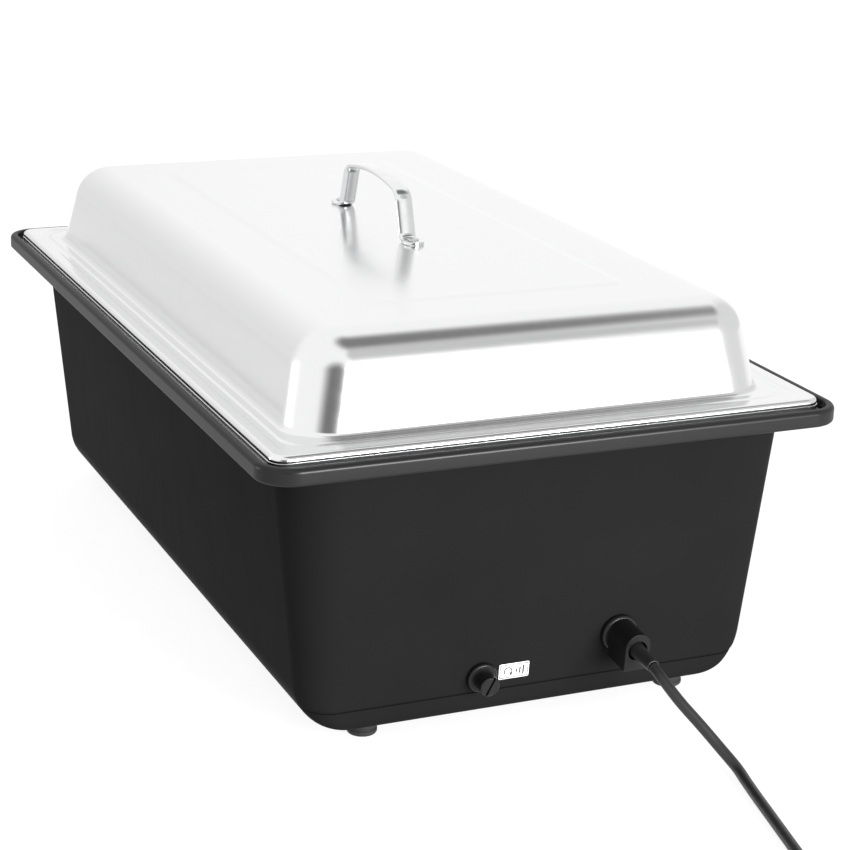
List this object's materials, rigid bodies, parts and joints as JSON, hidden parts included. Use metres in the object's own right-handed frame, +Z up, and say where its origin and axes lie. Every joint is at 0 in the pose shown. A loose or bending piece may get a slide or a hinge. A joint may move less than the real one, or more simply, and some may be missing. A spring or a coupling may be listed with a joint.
{
  "type": "electric steam table unit",
  "caption": "Electric food warmer: tapered black tub with a heated water tank, food pan, domed steel lid with a strap handle, control knob, reset cap and mains lead.",
  "frame": {"origin": "on the table, under the middle of the rim: the centre of the feet's lowest plane", "axes": "+X along the tub towards the end with the mains lead, +Z up, the control knob on the -X end"},
  "size_m": [0.8583, 0.342, 0.265],
  "materials": {
    "black_plastic": "moulded, fine satin texture",
    "fitting_plastic": "moulded nylon, satin",
    "knob_plastic": "moulded, semi-gloss",
    "plug_plastic": "soft moulded PVC",
    "cord_pvc": "PVC sheath, satin",
    "wire_insulation": "silicone sleeve",
    "switch_body": "moulded, matt",
    "label_white": "printed film",
    "button_red": "moulded",
    "lamp_amber": "clear tinted",
    "foot_rubber": "moulded, matt",
    "seal_rubber": "matt",
    "silicone": "matt",
    "tie_fabric": "woven hook-and-loop",
    "lid_steel": "satin brushed outside",
    "pan_steel": "satin",
    "tank_steel": "satin",
    "handle_chrome": "bright",
    "zinc_steel": "zinc plated",
    "zinc_sheet": "galvanised sheet",
    "aluminium": "mill finish",
    "dial_metal": "brushed, printed scale",
    "element_sheath": "heat-tinted steel sheath",
    "copper": "drawn copper",
    "brass": "turned",
    "pin_metal": "nickel plated"
  },
  "bodies": {
    "base": {"housing": "black_plastic", "base_plate": "zinc_sheet", "base_screws": "zinc_steel", "foot_front_left": "foot_rubber", "foot_front_right": "foot_rubber", "foot_back_left": "foot_rubber", "foot_back_right": "foot_rubber", "foot_screws": "zinc_steel", "tank_gasket": "silicone", "water_tank": "tank_steel", "heat_spreader": "aluminium", "heating_element": "element_sheath", "clamp_studs": "zinc_steel", "element_clamps": "zinc_sheet", "clamp_nuts": "zinc_steel", "heat_shield": "aluminium", "thermostat_sensor": "copper", "limiter_sensor": "copper", "sensor_clips": "zinc_sheet", "thermostat": "switch_body", "thermostat_screws": "zinc_steel", "dial_plate": "dial_metal", "lamp_body": "fitting_plastic", "lamp_lens": "lamp_amber", "lamp_nut": "fitting_plastic", "limiter": "switch_body", "reset_nut": "fitting_plastic", "reset_label": "label_white", "terminal_block": "switch_body", "earth_stud": "brass", "internal_wires": "wire_insulation", "supply_tail": "cord_pvc", "gland_body": "fitting_plastic", "gland_nut": "fitting_plastic", "cord_clamp": "fitting_plastic", "clamp_screw": "zinc_steel", "cord_boot": "cord_pvc", "cord_run": "cord_pvc", "cord_coil": "cord_pvc", "cord_tail": "cord_pvc", "cord_tie": "tie_fabric", "plug_body": "plug_plastic", "plug_pins": "pin_metal"},
    "pan": {"food_pan": "pan_steel"},
    "lid": {"lid_shell": "lid_steel", "lid_handle": "handle_chrome", "handle_rivets": "zinc_steel"},
    "control_knob": {"thermostat_shaft": "zinc_steel", "knob": "knob_plastic"},
    "seal_ring": {"cap_seal": "seal_rubber"},
    "screw_cap": {"reset_cap": "fitting_plastic"},
    "button": {"reset_button": "button_red"}
  },
  "joints": [
    {"name": "pan_lift", "type": "slide", "parent": "base", "child": "pan", "axis": [0, 0, 1], "range_m": [0, 0.12]},
    {"name": "lid_lift", "type": "slide", "parent": "pan", "child": "lid", "axis": [0, 0, 1], "range_m": [0, 0.12]},
    {"name": "knob_turn", "type": "hinge", "parent": "base", "child": "control_knob", "pos_m": [-0.2491, 0, 0.047], "axis": [0.995, 0, 0.0995], "range_deg": [0, 270]},
    {"name": "cap_travel", "type": "slide", "parent": "base", "child": "seal_ring", "axis": [0.995, 0, -0.0995], "range_m": [0, 0.0045]},
    {"name": "cap_turn", "type": "hinge", "parent": "seal_ring", "child": "screw_cap", "pos_m": [0.2476, -0.034, 0.032], "axis": [0.995, 0, -0.0995], "range_deg": [0, 1625]},
    {"name": "button_press", "type": "slide", "parent": "base", "child": "button", "axis": [-0.995, 0, 0.0995], "range_m": [0, 0.0025], "stiffness_N_per_m": 400}
  ],
  "couplings": [
    {"joint": "cap_turn", "follows": "cap_travel", "rad_per_m": 6283.2}
  ]
}
